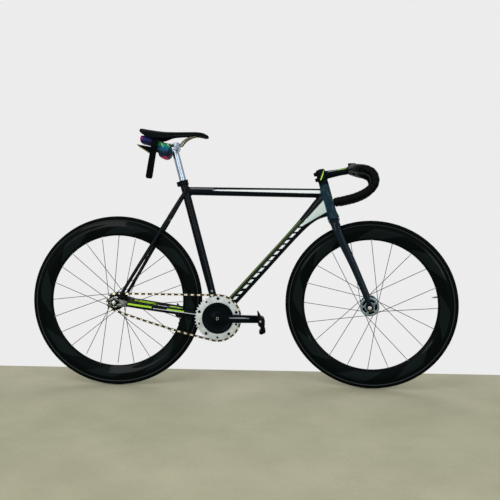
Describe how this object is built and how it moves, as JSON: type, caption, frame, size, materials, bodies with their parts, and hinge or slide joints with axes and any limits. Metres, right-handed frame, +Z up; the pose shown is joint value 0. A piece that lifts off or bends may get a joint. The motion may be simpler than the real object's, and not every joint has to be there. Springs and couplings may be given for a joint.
{
  "type": "track bicycle",
  "caption": "Fixed-gear track bicycle with drop handlebars, deep-section rims, crossed spokes, a toothed chainring and roller chain, and a strapped bag under the saddle.",
  "frame": {"origin": "the point where the rear tyre meets the ground, straight below the rear axle, in the bicycle's middle plane", "axes": "+X points forward from the rear wheel to the front wheel, +Y to the bicycle's left, +Z up; the chain is on the right, at -Y"},
  "size_m": [1.6578, 0.4539, 1.0148],
  "materials": {
    "frame_paint": "gloss graphite with fine metallic flake",
    "fork_paint": "gloss blue-black",
    "carbon": "clear-coated black carbon fibre",
    "tyre": "matte black rubber",
    "silver": "polished",
    "steel": "zinc-plated",
    "black_metal": "black anodised",
    "chain_steel": "oiled steel with brassy plates",
    "bar_tape": "smooth black cushioned tape",
    "saddle_cover": "smooth black",
    "black_plastic": "matte black",
    "bag_fabric": "printed woven nylon",
    "webbing": "black webbing"
  },
  "bodies": {
    "frame": {"head_tube": "frame_paint", "top_tube": "frame_paint", "down_tube": "frame_paint", "seat_tube": "frame_paint", "bottom_bracket_shell": "frame_paint", "chainstay_left": "frame_paint", "chainstay_right": "frame_paint", "seatstay_left": "frame_paint", "seatstay_right": "frame_paint", "seatstay_bridge": "frame_paint", "dropout_left": "silver", "dropout_right": "silver", "seat_clamp": "black_metal", "headset_bearing_lower": "steel", "headset_bearing_upper": "steel", "rear_axle": "steel", "rear_axle_nut_left": "steel", "rear_axle_nut_right": "steel", "bottom_bracket_cup_left": "steel", "bottom_bracket_cup_right": "steel", "chain": "chain_steel"},
    "steering": {"fork": "fork_paint", "headset_cover": "black_metal", "headset_top_cap": "black_metal", "stem": "black_metal", "stem_faceplate": "black_metal", "stem_bolt_lower": "steel", "stem_bolt_upper": "steel", "handlebar": "black_metal", "bar_tape_left": "bar_tape", "bar_tape_right": "bar_tape", "bar_plug_left": "black_plastic", "bar_plug_right": "black_plastic", "front_axle": "steel", "front_axle_nut_left": "steel", "front_axle_nut_right": "steel"},
    "front_wheel": {"front_tyre": "tyre", "front_rim": "carbon", "front_hub": "silver"},
    "rear_wheel": {"rear_tyre": "tyre", "rear_rim": "carbon", "rear_hub": "black_metal", "cog": "black_metal", "cog_lockring": "steel"},
    "cranks": {"crank_spindle": "steel", "crank_left": "black_metal", "crank_right": "black_metal", "chainring": "silver", "pedal_spindle_left": "steel", "pedal_spindle_right": "steel"},
    "pedal_left": {"pedal_left": "black_plastic"},
    "pedal_right": {"pedal_right": "black_plastic"},
    "seat": {"seatpost": "silver", "saddle_clamp": "black_metal", "saddle_cushion": "saddle_cover", "saddle_shell": "black_plastic", "saddle_rails": "steel", "saddle_bag": "bag_fabric", "bag_strap": "webbing"}
  },
  "joints": [
    {"name": "steering", "type": "hinge", "parent": "frame", "child": "steering", "pos_m": [0.84683, 0, 0.67287], "axis": [-0.2924, 0, 0.9563], "range_deg": [-73.7, 96.3]},
    {"name": "front_wheel_spin", "type": "hinge", "parent": "steering", "child": "front_wheel", "pos_m": [0.9946, -0.00843, 0.33376], "axis": [0.1874, 0.9806, 0.0573], "continuous": true},
    {"name": "rear_wheel_spin", "type": "hinge", "parent": "frame", "child": "rear_wheel", "pos_m": [0, 0, 0.334], "axis": [0, 1, 0], "continuous": true, "deforming": ["chain"]},
    {"name": "crank_spin", "type": "hinge", "parent": "frame", "child": "cranks", "pos_m": [0.39838, 0, 0.278], "axis": [0, 1, 0], "continuous": true},
    {"name": "pedal_left_spin", "type": "hinge", "parent": "cranks", "child": "pedal_left", "pos_m": [0.23338, 0, 0.278], "axis": [0, 1, 0], "continuous": true},
    {"name": "pedal_right_spin", "type": "hinge", "parent": "cranks", "child": "pedal_right", "pos_m": [0.56338, 0, 0.278], "axis": [0, 1, 0], "continuous": true},
    {"name": "seatpost_height", "type": "slide", "parent": "frame", "child": "seat", "axis": [-0.2672, 0, 0.9636], "range_m": [-0.06, 0.05]}
  ],
  "couplings": [
    {"joint": "crank_spin", "follows": "rear_wheel_spin", "ratio": 0.36364}
  ]
}
